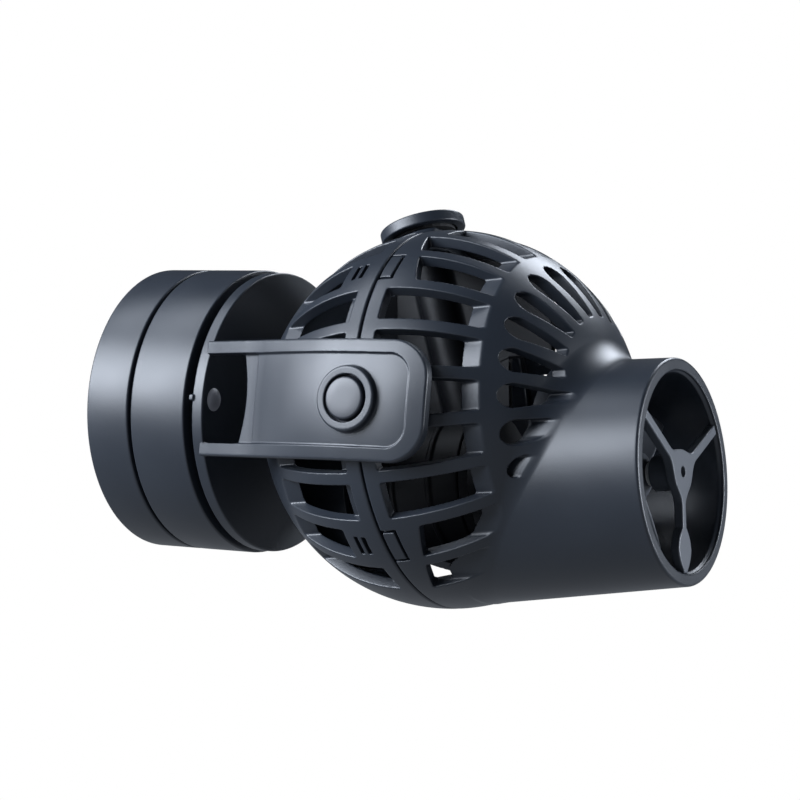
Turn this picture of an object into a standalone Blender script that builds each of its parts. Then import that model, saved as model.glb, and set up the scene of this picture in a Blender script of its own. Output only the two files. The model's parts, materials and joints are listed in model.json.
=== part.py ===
# Wave maker pump for an aquarium: a caged ball holding a wet-rotor motor and a
# propeller, carried in a swivelling fork on a two-piece magnet mount.
# Frame: origin on the mount axis, midway between the two magnet pads.
# +X points from the glass towards the pump, +Z is up, -Y is the near side. Metres.

import math

import bmesh
import bpy
from mathutils import Matrix, Vector

for old in list(bpy.data.objects):
    bpy.data.objects.remove(old, do_unlink=True)

MM = 0.001


def mm(points):
    """Pairs of millimetres as pairs of metres."""
    return [(first * MM, second * MM) for first, second in points]


# --------------------------------------------------------- shared dimensions
BALL_R = 37.0 * MM              # caged ball, outside
BALL_WALL = 2.2 * MM
BALL_IN_R = BALL_R - BALL_WALL
BALL_X = 57.1 * MM              # ball centre from the pad plane
BALL_PITCH = math.radians(6.09)  # nose-up at rest
GAP = 0.30 * MM                 # general clearance

DUCT_Z = -13.15 * MM            # duct and motor axis, from the ball centre

WET_X0, WET_X1 = 0.4 * MM, 13.25 * MM       # wet-side housing
DISC_X0, DISC_X1 = 14.9 * MM, 17.4 * MM     # fork disc
INDEX_PIN_Y = -24.9 * MM

SHAFT_R = 1.0 * MM
CAN_R = 13.6 * MM
CAN_X0, CAN_X1 = -20.6 * MM, 8.2 * MM       # motor can, from the ball centre

CAP_TILT = math.radians(14.0)   # the top cap leans back from the ball's own Z
CAP_FOOT_X, CAP_FOOT_Z = 3.45 * MM, 0.57 * MM   # a point on its axis near the ball centre
NECK_R = 3.9 * MM

# -------------------------------------------------------------------- frames
# local X, Y, Z -> Y, Z, X
TO_X = Matrix(((0, 0, 1, 0), (1, 0, 0, 0), (0, 1, 0, 0), (0, 0, 0, 1)))
# local X, Y, Z -> X, Z, -Y
TO_NEAR = Matrix(((1, 0, 0, 0), (0, 0, -1, 0), (0, 1, 0, 0), (0, 0, 0, 1)))
# local Z points out of the near or the far side
SIDE_FRAMES = {"near": TO_NEAR, "far": Matrix.Rotation(math.pi, 4, "Z") @ TO_NEAR}
# ball frame: the duct's axis and the cap's axis as local Z
DUCT_FRAME = Matrix.Translation((0, 0, DUCT_Z)) @ TO_X
CAP_FRAME = (Matrix.Translation((CAP_FOOT_X, 0, CAP_FOOT_Z))
             @ Matrix.Rotation(-CAP_TILT, 4, "Y"))

# ----------------------------------------------------------------- materials
CHARCOAL = (0.030, 0.034, 0.042)
DARK = (0.012, 0.013, 0.016)
GRAPHITE = (0.10, 0.10, 0.11)

FINISHES = {
    "housing": dict(color=CHARCOAL, roughness=0.45),
    "body": dict(color=CHARCOAL, roughness=0.42),
    "pad": dict(color=DARK, roughness=0.8),
    "soft_part": dict(color=DARK, roughness=0.7),
    "cable": dict(color=DARK, roughness=0.6),
    "can": dict(color=DARK, roughness=0.5),
    "propeller": dict(color=DARK, roughness=0.45),
    "pivot_pin": dict(color=(0.045, 0.048, 0.055), roughness=0.35),
    "index_pin": dict(color=GRAPHITE, roughness=0.4),
    "rotor_magnet": dict(color=GRAPHITE, roughness=0.5, metallic=0.4),
    "mount_magnet": dict(color=(0.35, 0.35, 0.36), roughness=0.35, metallic=0.9),
    "screw": dict(color=(0.6, 0.6, 0.62), roughness=0.3, metallic=1.0),
    "shaft": dict(color=(0.65, 0.66, 0.68), roughness=0.2, metallic=1.0),
    "core": dict(color=(0.25, 0.25, 0.26), roughness=0.45, metallic=0.8),
    "winding": dict(color=(0.45, 0.18, 0.08), roughness=0.4, metallic=0.6),
    "thrust_washer": dict(color=(0.8, 0.78, 0.72), roughness=0.4),
}


def material(name, color, roughness, metallic=0.0):
    made = bpy.data.materials.new(name)
    made.use_nodes = True
    inputs = made.node_tree.nodes["Principled BSDF"].inputs
    inputs["Base Color"].default_value = (*color, 1.0)
    inputs["Roughness"].default_value = roughness
    inputs["Metallic"].default_value = metallic
    return made


# --------------------------------------------------------------- mesh helpers
main = bpy.data.collections.new("wave_maker_pump")
tools = bpy.data.collections.new("cutters")
bpy.context.scene.collection.children.link(main)
bpy.context.scene.collection.children.link(tools)


def shape(mesh, frame=None):
    """A working object holding a mesh, with any frame put into the mesh."""
    if frame is not None:
        mesh.transform(frame)
    body = bpy.data.objects.new("work", mesh)
    tools.objects.link(body)
    return body


def shape_from(bm, frame=None):
    """A working object from a bmesh, which is freed."""
    mesh = bpy.data.meshes.new("work")
    bm.to_mesh(mesh)
    bm.free()
    return shape(mesh, frame)


def evaluated(body):
    bpy.context.view_layer.update()
    depsgraph = bpy.context.evaluated_depsgraph_get()
    return bpy.data.meshes.new_from_object(body.evaluated_get(depsgraph))


def weld(mesh, distance=1e-6):
    bm = bmesh.new()
    bm.from_mesh(mesh)
    bmesh.ops.remove_doubles(bm, verts=bm.verts, dist=distance)
    bmesh.ops.dissolve_degenerate(bm, edges=bm.edges, dist=1e-7)
    bm.to_mesh(mesh)
    bm.free()
    return mesh


def baked(source):
    """The welded mesh of an object or curve, normals outwards; the source is removed."""
    mesh = weld(evaluated(source))
    bpy.data.objects.remove(source, do_unlink=True)
    bm = bmesh.new()
    bm.from_mesh(mesh)
    bmesh.ops.recalc_face_normals(bm, faces=bm.faces)
    bm.to_mesh(mesh)
    bm.free()
    return mesh


def mirror(mesh, x=1, y=1):
    """Mirror a mesh in place through X = 0 or Y = 0, given -1 for that axis."""
    mesh.transform(Matrix.Diagonal((x, y, 1, 1)))
    mesh.flip_normals()


def turned(profile, steps, frame, closed=False):
    """A profile of (radius, height) turned about local Z."""
    mesh = bpy.data.meshes.new("profile")
    points = [(radius, 0.0, height) for radius, height in profile]
    edges = [(i, i + 1) for i in range(len(points) - 1)]
    if closed:
        edges.append((len(points) - 1, 0))
    mesh.from_pydata(points, edges, [])
    source = shape(mesh)
    turn = source.modifiers.new("turn", "SCREW")
    turn.axis = "Z"
    turn.steps = steps
    turn.render_steps = steps
    turn.use_merge_vertices = True
    turn.merge_threshold = 0.00001
    turn.use_normal_calculate = True
    return shape(baked(source), frame)


def ring(inner, outer, start, end, steps, frame):
    """A plain ring between two radii and two heights."""
    profile = [(outer, end), (outer, start), (inner, start), (inner, end)]
    return turned(profile, steps, frame, closed=True)


def cylinder(radius, start, end, segments, frame):
    bm = bmesh.new()
    bmesh.ops.create_cone(bm, cap_ends=True, segments=segments, radius1=radius, radius2=radius,
                          depth=end - start,
                          matrix=Matrix.Translation((0, 0, (start + end) / 2)))
    return shape_from(bm, frame)


def box(size, center):
    bm = bmesh.new()
    bmesh.ops.create_cube(bm, size=1.0, matrix=Matrix.Diagonal((*size, 1.0)))
    return shape_from(bm, Matrix.Translation(center))


def sphere(radius):
    """A sphere about the origin with its poles on X."""
    bm = bmesh.new()
    bmesh.ops.create_uvsphere(bm, u_segments=48, v_segments=18, radius=radius, matrix=TO_X)
    return shape_from(bm)


def prism(outlines, start, end, frame=None):
    """Flat outlines filled and extruded from start to end along local Z."""
    curve = bpy.data.curves.new("outline", "CURVE")
    curve.dimensions = "2D"
    curve.fill_mode = "BOTH"
    curve.extrude = (end - start) / 2
    for outline in outlines:
        spline = curve.splines.new("POLY")
        spline.points.add(len(outline) - 1)
        for point, (x, y) in zip(spline.points, outline):
            point.co = (x, y, 0.0, 1.0)
        spline.use_cyclic_u = True
    source = bpy.data.objects.new("outline", curve)
    tools.objects.link(source)
    mesh = baked(source)
    mesh.transform(Matrix.Translation((0, 0, (start + end) / 2)))
    return shape(mesh, frame)


def combine(body, other, operation):
    """Apply a boolean to the body; the other object is used up."""
    boolean = body.modifiers.new(operation, "BOOLEAN")
    boolean.operation = operation
    boolean.object = other
    boolean.solver = "EXACT"
    mesh = weld(evaluated(body), 2e-6)
    body.modifiers.clear()
    body.data = mesh
    bpy.data.objects.remove(other, do_unlink=True)
    return body


def cut(body, *others):
    for other in others:
        combine(body, other, "DIFFERENCE")
    return body


def add(body, *others):
    for other in others:
        combine(body, other, "UNION")
    return body


def keep_common(body, other):
    return combine(body, other, "INTERSECT")


def finish(body, name, finish_name, parent=None):
    """Turn a working object into a finished piece with its own material."""
    tools.objects.unlink(body)
    main.objects.link(body)
    body.name = name
    body.data.name = name
    bm = bmesh.new()
    bm.from_mesh(body.data)
    bmesh.ops.dissolve_limit(bm, angle_limit=math.radians(0.4), verts=bm.verts, edges=bm.edges)
    bmesh.ops.triangulate(bm, faces=bm.faces)
    bm.to_mesh(body.data)
    bm.free()
    body.data.materials.clear()     # booleans may leave empty slots
    body.data.materials.append(material(name, **FINISHES[finish_name]))
    body.data.shade_smooth()
    body.data.set_sharp_from_angle(angle=math.radians(30.0))
    body.parent = parent


# ------------------------------------------------------------- joint empties
def empty(name, location, rotation=(0, 0, 0), parent=None):
    joint = bpy.data.objects.new(name, None)
    main.objects.link(joint)
    joint.location = location
    joint.rotation_euler = rotation
    joint.parent = parent
    joint.empty_display_size = 0.01
    return joint


dry_slide = empty("dry_slide_axis", (0, 0, 0))
fork_axis = empty("fork_swivel_axis", (DISC_X0, 0, 0))
ball_axis = empty("ball_tilt_axis", (BALL_X, 0, 0), rotation=(0, -BALL_PITCH, 0))
rotor_axis = empty("rotor_axis", (0, 0, DUCT_Z), parent=ball_axis)

# -------------------------------------------------------------- magnet mount
PUCK_R = 29.0 * MM
PUCK_EDGE = 0.6 * MM            # broken edge on the side away from the glass
PUCK_RIM_EDGE = 0.3 * MM        # broken edge at the open rim
CUP_BORE_R = 26.2 * MM
MAGNET_R = 25.6 * MM
PAD_R = 25.8 * MM
PAD_BACK = 1.9 * MM             # back of each pad from the pad plane
PAD_GAP = 0.30 * MM             # between the two rubber pads
DRY_X0, DRY_X1 = -10.5 * MM, -0.4 * MM
DRY_FLOOR_X = DRY_X0 + 2.6 * MM

BOSS_R = 5.2 * MM               # screw boss in the middle of the wet housing
BOSS_X = 3.4 * MM
THREAD_HOLE_R = 1.75 * MM
WET_FLOOR_X = 10.4 * MM
WASHER_GAP = 0.15 * MM

THREAD_R = 1.6 * MM
SHOULDER_R = 2.95 * MM
SHOULDER_X = WET_X1 + 0.2 * MM
HEAD_X = 17.1 * MM              # top of the screw's head
DRIVE_DEPTH, DRIVE_LENGTH, DRIVE_WIDTH = 0.9 * MM, 6.0 * MM, 1.1 * MM   # cross slots


def dry_side():
    """Cup housing open towards the pump, with a magnet and a rubber pad in it."""
    housing = turned([
        (0, DRY_FLOOR_X), (CUP_BORE_R, DRY_FLOOR_X), (CUP_BORE_R, DRY_X1),
        (PUCK_R - PUCK_RIM_EDGE, DRY_X1), (PUCK_R, DRY_X1 - PUCK_RIM_EDGE),
        (PUCK_R, DRY_X0 + PUCK_EDGE), (PUCK_R - PUCK_EDGE, DRY_X0), (0, DRY_X0),
    ], 36, TO_X)
    finish(housing, "dry_housing", "housing", dry_slide)
    magnet = ring(2.5 * MM, MAGNET_R, DRY_X0 + 2.9 * MM, -2.2 * MM, 36, TO_X)
    finish(magnet, "dry_magnet", "mount_magnet", dry_slide)
    pad = cylinder(PAD_R, -PAD_BACK, -PAD_GAP / 2, 36, TO_X)
    finish(pad, "dry_pad", "pad", dry_slide)


def wet_side():
    """Cup housing open to the glass, its magnet, pad and the washer on its back."""
    housing = turned([
        (CUP_BORE_R, WET_X0), (CUP_BORE_R, WET_FLOOR_X), (BOSS_R, WET_FLOOR_X),
        (BOSS_R, BOSS_X), (THREAD_HOLE_R, BOSS_X), (THREAD_HOLE_R, WET_X1),
        (PUCK_R - PUCK_EDGE, WET_X1), (PUCK_R, WET_X1 - PUCK_EDGE),
        (PUCK_R, WET_X0 + PUCK_RIM_EDGE), (PUCK_R - PUCK_RIM_EDGE, WET_X0),
    ], 36, TO_X, closed=True)
    finish(housing, "wet_housing", "housing")
    finish(ring(5.6 * MM, MAGNET_R, 2.2 * MM, 10.1 * MM, 36, TO_X), "wet_magnet", "mount_magnet")
    finish(cylinder(PAD_R, PAD_GAP / 2, PAD_BACK, 36, TO_X), "wet_pad", "pad")
    washer = ring(3.6 * MM, 13.0 * MM, WET_X1 + WASHER_GAP, DISC_X0 - WASHER_GAP, 24, TO_X)
    finish(washer, "friction_washer", "soft_part")


def swivel_screw():
    """Thread in the boss, shoulder through the washer and the fork disc."""
    screw = turned([
        (0, HEAD_X), (4.0 * MM, HEAD_X), (4.5 * MM, 16.7 * MM), (4.5 * MM, 16.05 * MM),
        (SHOULDER_R, 16.05 * MM), (SHOULDER_R, SHOULDER_X), (THREAD_R, SHOULDER_X),
        (THREAD_R, 3.6 * MM), (0, 3.6 * MM),
    ], 24, TO_X)
    cut(screw, box((DRIVE_DEPTH, DRIVE_LENGTH, DRIVE_WIDTH), (HEAD_X, 0, 0)),
        box((DRIVE_DEPTH, DRIVE_WIDTH, DRIVE_LENGTH), (HEAD_X, 0, 0)))
    finish(screw, "swivel_screw", "screw")


dry_side()
wet_side()
swivel_screw()

# ---------------------------------------------------------------------- fork
# The disc lies against the washer; two arms bow round the ball.
# The fork is built about the pivot, then moved to the swivel frame.
DISC_R = 28.5 * MM
DISC_EDGE = 0.4 * MM
DISC_BORE_R = 3.05 * MM
HEAD_RECESS_R = 4.8 * MM        # recess for the screw's head
HEAD_RECESS_X = DISC_X1 - 1.5 * MM

# the arm's outer face, (x from the pivot, |y|) in mm
ARM_OUTER = [
    (-40.1, 27.9), (-35.2, 29.3), (-30.7, 30.6), (-26.0, 31.8), (-20.8, 34.2), (-14.0, 36.9),
    (-7.0, 38.8), (0.0, 39.6), (6.0, 39.75), (10.0, 39.55), (13.5, 39.0), (18.0, 37.9),
]
# depths below the outer face, in mm
ARM_THICKNESS = 2.1
PANEL_DEPTH = 0.6
LEDGE_DEPTH = 1.3

ARM_HALF_Z = 11.2 * MM
ARM_END_X = 15.6 * MM           # end of the arm, from the pivot
RAIL_IN_Z = 8.6 * MM            # inner edges of the two rails
PANEL_END_X = 12.2 * MM
WINDOW_X = -29.9 * MM           # window edge, from the pivot
WINDOW_BULGE = 1.1 * MM
LEDGE_X = -25.5 * MM            # the panel steps back between here and the window
ARM_BORE_R = 4.88 * MM
ARM_RING_R = 6.1 * MM
ARM_LIP_R = 4.40 * MM


def inset_path(path, depth):
    """The same path moved sideways by a depth towards the ball."""
    moved = []
    for i, (x, y) in enumerate(path):
        x0, y0 = path[max(i - 1, 0)]
        x1, y1 = path[min(i + 1, len(path) - 1)]
        length = math.hypot(x1 - x0, y1 - y0)
        moved.append((x + (y1 - y0) / length * depth, y - (x1 - x0) / length * depth))
    return moved


def plan_prism(outer, inner):
    """The near-side strip between two paths in mm, tall enough to trim."""
    outline = [(x * MM, -y * MM) for x, y in outer + inner[::-1]]
    return prism([outline], -20 * MM, 20 * MM)


def near_prism(outline):
    """An outline in x and z, extruded out through the near side."""
    return prism([outline], 0, 60 * MM, TO_NEAR)


def bar_outline(start_x, end_x, half_height, corner, steps=5):
    """A bar in x and z with the two corners at its +X end rounded."""
    outline = [(start_x, -half_height)]
    for side, start_angle in ((-1, -90), (1, 0)):
        for i in range(steps + 1):
            angle = math.radians(start_angle + 90 * i / steps)
            outline.append((end_x - corner + corner * math.cos(angle),
                            side * (half_height - corner) + corner * math.sin(angle)))
    outline.append((start_x, half_height))
    return outline


def window_outline():
    """The open window next to the disc; its pump-side edge is hollowed."""
    start_x = -50 * MM
    outline = [(start_x, -RAIL_IN_Z), (WINDOW_X, -RAIL_IN_Z)]
    for i in range(1, 8):
        z = -RAIL_IN_Z + 2 * RAIL_IN_Z * i / 8
        outline.append((WINDOW_X + WINDOW_BULGE * math.cos(z / RAIL_IN_Z * math.pi / 2), z))
    return outline + [(WINDOW_X, RAIL_IN_Z), (start_x, RAIL_IN_Z)]


def near_arm():
    body = plan_prism(ARM_OUTER, inset_path(ARM_OUTER, ARM_THICKNESS))
    keep_common(body, near_prism(bar_outline(-45 * MM, ARM_END_X, ARM_HALF_Z, 7.0 * MM)))
    # recessed panel between the rails
    outside = [(x, y + 8.0) for x, y in ARM_OUTER]
    recess = plan_prism(outside, inset_path(ARM_OUTER, PANEL_DEPTH))
    keep_common(recess, near_prism(bar_outline(-42 * MM, PANEL_END_X, RAIL_IN_Z, 4.0 * MM)))
    cut(body, recess)
    cut(body, near_prism(window_outline()))
    # thinner ledge along the window
    ledge = plan_prism(outside, inset_path(ARM_OUTER, LEDGE_DEPTH))
    keep_common(ledge, box((20 * MM, 200 * MM, 2 * RAIL_IN_Z), (LEDGE_X - 10 * MM, 0, 0)))
    cut(body, ledge)
    # ring round the pivot; its bore narrows to a lip that holds the pin's shoulder
    add(body, cylinder(ARM_RING_R, 37.7 * MM, 40.55 * MM, 24, TO_NEAR))
    cut(body, cylinder(ARM_BORE_R, 30 * MM, 39.35 * MM, 24, TO_NEAR))
    cut(body, cylinder(ARM_LIP_R, 35 * MM, 60 * MM, 24, TO_NEAR))
    return body


def fork_bracket():
    fork = turned([
        (DISC_BORE_R, HEAD_RECESS_X), (HEAD_RECESS_R, HEAD_RECESS_X), (HEAD_RECESS_R, DISC_X1),
        (DISC_R - DISC_EDGE, DISC_X1), (DISC_R, DISC_X1 - DISC_EDGE),
        (DISC_R, DISC_X0 + DISC_EDGE), (DISC_R - DISC_EDGE, DISC_X0), (DISC_BORE_R, DISC_X0),
    ], 36, TO_X, closed=True)
    fork.data.transform(Matrix.Translation((-BALL_X, 0, 0)))
    pin_frame = Matrix.Translation((0, INDEX_PIN_Y, 0)) @ TO_X
    cut(fork, cylinder(1.5 * MM, -45 * MM, -35 * MM, 16, pin_frame))
    near = near_arm()
    far_mesh = near.data.copy()
    mirror(far_mesh, y=-1)
    add(fork, near, shape(far_mesh))
    # index nub on the near side of the rim
    add(fork, box((1.1 * MM, 2.0 * MM, 1.1 * MM), (-42.25 * MM, -27.9 * MM, 0)))
    fork.data.transform(Matrix.Translation((BALL_X - DISC_X0, 0, 0)))
    finish(fork, "fork_bracket", "body", fork_axis)


def index_pin():
    profile = mm([
        (0, 18.3), (1.3, 18.1), (2.3, 17.65), (2.3, 17.6), (1.2, 17.6), (1.2, 15.1), (0, 15.1),
    ])
    frame = Matrix.Translation((-DISC_X0, INDEX_PIN_Y, 0)) @ TO_X
    finish(turned(profile, 24, frame), "index_pin", "index_pin", fork_axis)


fork_bracket()
index_pin()

# ---------------------------------------------------------------------- cage
# Two half balls meet at a seam at X = 0. Slots are numbered round the X axis:
# 0 is near, 6 is up, 12 is far and -6 is down.
SEAM = 0.15 * MM                # each half stops this far from X = 0
SLOTS = 24
RIB = 2.4 * MM                  # rib width between slots
SLOT_OUT_R = 42 * MM            # slot cutters reach past the wall
CUT_END_X = 45 * MM
BAND = 3.2 * MM                 # solid band each side of the seam
LATCH_BAND = 8.4 * MM           # wider band at the four latches
REAR_SLOT_R = 29.4 * MM         # rear slots stop at this radius
FRONT_SLOT_R = 29.8 * MM        # front slots stop at this radius
LATCH_SLOTS = (-9, -3, 3, 9)
KEEL_SLOTS = (-7, -6, -5)       # the bottom is closed
# front half: slot numbers and where they start in x
FRONT_SLOTS = (
    ([k for k in range(-12, 12) if not 3 <= abs(k) <= 9], BAND),
    (LATCH_SLOTS, 7.2 * MM),
    ((-8, -4, 4, 8), 4.7 * MM),
    ((5, 6, 7), 6.7 * MM),
)
# petal-shaped openings round the front pole
PETALS = range(-2, 15)
PETAL_OUT, PETAL_IN = 27.6 * MM, 17.4 * MM
PETAL_WIDE, PETAL_THIN = 2.3 * MM, 0.9 * MM     # half widths

BOSS_SPAN = 20 * MM             # trimming boxes for half bosses
PIVOT_BOSS_R = 6.3 * MM
PIVOT_BORE_R = 3.35 * MM

DUCT_OUT_X = 48.87 * MM         # outlet plane
DUCT_OUT_R = 21.2 * MM
DUCT_EDGE = 0.5 * MM
DUCT_ROOT_R = 23.1 * MM
DUCT_BORE_R = 18.5 * MM
DUCT_LIP_R = DUCT_BORE_R + 0.4 * MM
DUCT_ROOT_X = 8.0 * MM          # the duct's skirt leaves the ball wall here
DUCT_IN_X = 27.0 * MM           # the bore starts here, inside the ball


def slot_directions(angle):
    """Outward and sideways unit vectors in y and z at an angle round the X axis."""
    return (-math.cos(angle), math.sin(angle)), (math.sin(angle), math.cos(angle))


def slot_section(k, inner):
    """One slot's section across X, between two ribs of constant width."""
    middle = math.radians(360 / SLOTS * k)
    half = math.radians(180 / SLOTS)
    points = []
    for side, radii in ((-1, (inner, SLOT_OUT_R)), (1, (SLOT_OUT_R, inner))):
        out, across = slot_directions(middle + side * half)
        for radius in radii:
            along = math.sqrt(radius * radius - (RIB / 2) ** 2)
            points.append((out[0] * along - side * across[0] * RIB / 2,
                           out[1] * along - side * across[1] * RIB / 2))
    points.append((-math.cos(middle) * inner, math.sin(middle) * inner))
    return points


def petal_section(k):
    """A radial opening that widens outwards to a round end."""
    out, across = slot_directions(math.radians(360 / SLOTS * k))
    round_r = PETAL_OUT - PETAL_WIDE
    points = [(PETAL_IN, -PETAL_THIN), (round_r, -PETAL_WIDE)]
    for i in range(1, 4):
        angle = -math.pi / 2 + math.pi * i / 4
        points.append((round_r + PETAL_WIDE * math.cos(angle), PETAL_WIDE * math.sin(angle)))
    points += [(round_r, PETAL_WIDE), (PETAL_IN, PETAL_THIN)]
    return [(out[0] * radius + across[0] * offset, out[1] * radius + across[1] * offset)
            for radius, offset in points]


def slot_cutters(numbers, inner, start, end):
    return prism([slot_section(k, inner) for k in numbers], start, end, TO_X)


def meridian(radius, steps):
    """(radius, height) points on a circle from the seam to the pole."""
    start = math.asin(SEAM / radius)
    angles = [start + (math.pi / 2 - start) * i / steps for i in range(steps)]
    arc = [(radius * math.cos(angle), radius * math.sin(angle)) for angle in angles]
    return arc + [(0.0, radius)]


def half_shell(half):
    """Half of the ball wall: front for half = 1, rear for half = -1."""
    shell = turned(meridian(BALL_R, 9)[::-1] + meridian(BALL_IN_R, 6), 48, TO_X)
    if half < 0:
        mirror(shell.data, x=-1)
    return shell


def add_pivot_bosses(cage, half):
    """Half bosses behind both pivots, split on the seam, each with its pin bore."""
    for frame in SIDE_FRAMES.values():
        boss = cylinder(PIVOT_BOSS_R, 33.2 * MM, 36.6 * MM, 24, frame)
        keep_common(boss, box((BOSS_SPAN, 100 * MM, BOSS_SPAN),
                              (half * (BOSS_SPAN / 2 + SEAM), 0, 0)))
        add(cage, boss)
        cut(cage, cylinder(PIVOT_BORE_R, 25 * MM, 45 * MM, 24, frame))


def rear_cage():
    rear = half_shell(-1)
    plain = [k for k in range(-12, 12) if k not in LATCH_SLOTS + KEEL_SLOTS]
    cut(rear, slot_cutters(plain, REAR_SLOT_R, -CUT_END_X, -BAND))
    cut(rear, slot_cutters(LATCH_SLOTS, REAR_SLOT_R, -CUT_END_X, -LATCH_BAND))
    # socket for the motor, rooted in the wall
    socket = ring(CAN_R + GAP, CAN_R + 1.9 * MM, -30.0 * MM, -15.5 * MM, 32, DUCT_FRAME)
    add(rear, keep_common(socket, sphere(BALL_R - BALL_WALL / 2)))
    add_pivot_bosses(rear, -1)
    # hole for the cap's neck, in a small solid pad that bridges the slots
    seat = cylinder(7.0 * MM, 33.0 * MM, 36.8 * MM, 24, CAP_FRAME)
    keep_common(seat, box((40 * MM, 40 * MM, 40 * MM), (-20 * MM - SEAM, 0, 35 * MM)))
    add(rear, seat)
    cut(rear, cylinder(NECK_R + GAP, 30 * MM, 45 * MM, 24, CAP_FRAME))
    finish(rear, "rear_cage", "body", ball_axis)


def duct_tube():
    """The duct's solid outside; behind the bore it lies outside the ball's hollow."""
    tube = turned([
        (0, DUCT_OUT_X), (DUCT_OUT_R - DUCT_EDGE, DUCT_OUT_X),
        (DUCT_OUT_R, DUCT_OUT_X - DUCT_EDGE), (DUCT_ROOT_R, DUCT_ROOT_X), (0, DUCT_ROOT_X),
    ], 48, DUCT_FRAME)
    hollow = sphere(BALL_IN_R)
    keep_common(hollow, box((100 * MM, 100 * MM, 100 * MM), (DUCT_IN_X - 50 * MM, 0, 0)))
    return cut(tube, hollow)


def duct_bore():
    """Cutter for the bore, wider at the outlet lip and flared at the inner end."""
    return turned([
        (0, DUCT_OUT_X + 5 * MM), (DUCT_LIP_R, DUCT_OUT_X + 5 * MM),
        (DUCT_LIP_R, DUCT_OUT_X - 0.4 * MM), (DUCT_BORE_R, DUCT_OUT_X - 0.8 * MM),
        (DUCT_BORE_R, DUCT_IN_X + 2 * MM), (DUCT_BORE_R + 1.2 * MM, DUCT_IN_X - 1 * MM),
        (0, DUCT_IN_X - 1 * MM),
    ], 48, DUCT_FRAME)


def front_cage():
    front = half_shell(1)
    for numbers, start in FRONT_SLOTS:
        cut(front, slot_cutters(numbers, FRONT_SLOT_R, start, CUT_END_X))
    cut(front, prism([petal_section(k) for k in PETALS], 15 * MM, CUT_END_X, TO_X))
    add(front, duct_tube())
    cut(front, duct_bore())
    add_pivot_bosses(front, 1)
    finish(front, "front_cage", "body", ball_axis)


rear_cage()
front_cage()

# ---------------------------------------------------------------- pivot pins
# button end in the arm's ring, journal in the arm's bore, flange behind the ball wall
PIN_R = 3.95 * MM
JOURNAL_R = 4.80 * MM
PIN_NECK_R = 3.05 * MM
PIN_FLANGE_R = 4.6 * MM
PIN_PROFILE = [
    (0, 40.95 * MM), (PIN_R - 0.5 * MM, 40.85 * MM), (PIN_R, 40.45 * MM), (PIN_R, 39.05 * MM),
    (JOURNAL_R, 39.05 * MM), (JOURNAL_R, 37.35 * MM), (PIN_NECK_R, 37.35 * MM),
    (PIN_NECK_R, 32.9 * MM), (PIN_FLANGE_R, 32.9 * MM), (PIN_FLANGE_R, 31.6 * MM),
    (0, 31.6 * MM),
]
for side_name, side_frame in SIDE_FRAMES.items():
    finish(turned(PIN_PROFILE, 24, side_frame), "pivot_pin_" + side_name, "pivot_pin", ball_axis)

# --------------------------------------------------- top cap, seal and cable
# all in the cap's frame
CAP_R = 8.5 * MM
CAP_UNDER = 38.45 * MM          # underside of the cap's head
NECK_END = 33.2 * MM
NECK_BORE_R = 2.2 * MM
CABLE_R = 1.5 * MM
CABLE_LINE_R = BALL_R + 1.9 * MM    # the cable lies on the ball
CABLE_BEND = 2.7 * MM
CABLE_LIFT = 0.8 * MM           # how far the free end rises off that line
CABLE_DRIFT = -6.0 * MM         # how far the free end drifts in x


def cable_body(radius, start_z, end_angle, steps, sweep):
    """A round cable up the cap's axis, round a bend, then over the ball to the far side.

    The end angle is in degrees from the cap's axis; sweep scales the lift and drift.
    """
    curve = bpy.data.curves.new("cable", "CURVE")
    curve.dimensions = "3D"
    curve.bevel_depth = radius
    curve.bevel_resolution = 2
    curve.use_fill_caps = True
    top = CABLE_LINE_R - CABLE_BEND
    path = [Vector((0, 0, start_z)), Vector((0, 0, (start_z + top) / 2))]
    for i in range(4):
        angle = math.radians(22.5 * i)
        path.append(Vector((0, CABLE_BEND * (1 - math.cos(angle)),
                            top + CABLE_BEND * math.sin(angle))))
    start_angle = math.degrees(math.atan2(CABLE_BEND, CABLE_LINE_R))
    for i in range(steps + 1):
        part = i / steps
        angle = math.radians(start_angle + (end_angle - start_angle) * part)
        line_r = CABLE_LINE_R + CABLE_LIFT * part * sweep
        path.append(Vector((CABLE_DRIFT * part * part * sweep,
                            line_r * math.sin(angle), line_r * math.cos(angle))))
    spline = curve.splines.new("POLY")
    spline.points.add(len(path) - 1)
    for point, place in zip(spline.points, path):
        point.co = (*(CAP_FRAME @ place), 1.0)
    source = bpy.data.objects.new("cable_curve", curve)
    tools.objects.link(source)
    return shape(baked(source))


def gland_cap():
    cap = turned([
        (0, 40.75 * MM), (CAP_R - 0.6 * MM, 40.6 * MM), (CAP_R, 40.1 * MM), (CAP_R, 38.7 * MM),
        (CAP_R - 0.25 * MM, CAP_UNDER), (NECK_R, CAP_UNDER), (NECK_R, NECK_END),
        (NECK_BORE_R, NECK_END), (NECK_BORE_R, 37.4 * MM), (0, 37.4 * MM),
    ], 24, CAP_FRAME)
    # cable way out on the far side
    cut(cap, cable_body(CABLE_R + 1.4 * GAP, start_z=30.0 * MM, end_angle=18.0, steps=5, sweep=0.0))
    finish(cap, "gland_cap", "body", ball_axis)


def gland_seal():
    seal = ring(NECK_R + GAP, 6.4 * MM, 37.3 * MM, 38.3 * MM, 24, CAP_FRAME)
    cut(seal, cable_body(CABLE_R + GAP, start_z=30.0 * MM, end_angle=16.0, steps=3, sweep=0.0))
    finish(seal, "gland_seal", "soft_part", ball_axis)


gland_cap()
gland_seal()
finish(cable_body(CABLE_R, start_z=1.3 * MM, end_angle=42.0, steps=10, sweep=1.0),
       "cable", "cable", ball_axis)

# ----------------------------------------------------------- motor and shaft
# all on the duct axis; heights run along X from the ball centre
CAN_WALL = 1.5 * MM
CAN_FLOOR_X = CAN_X0 + 1.8 * MM
CAN_EDGE = 1.2 * MM

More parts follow.
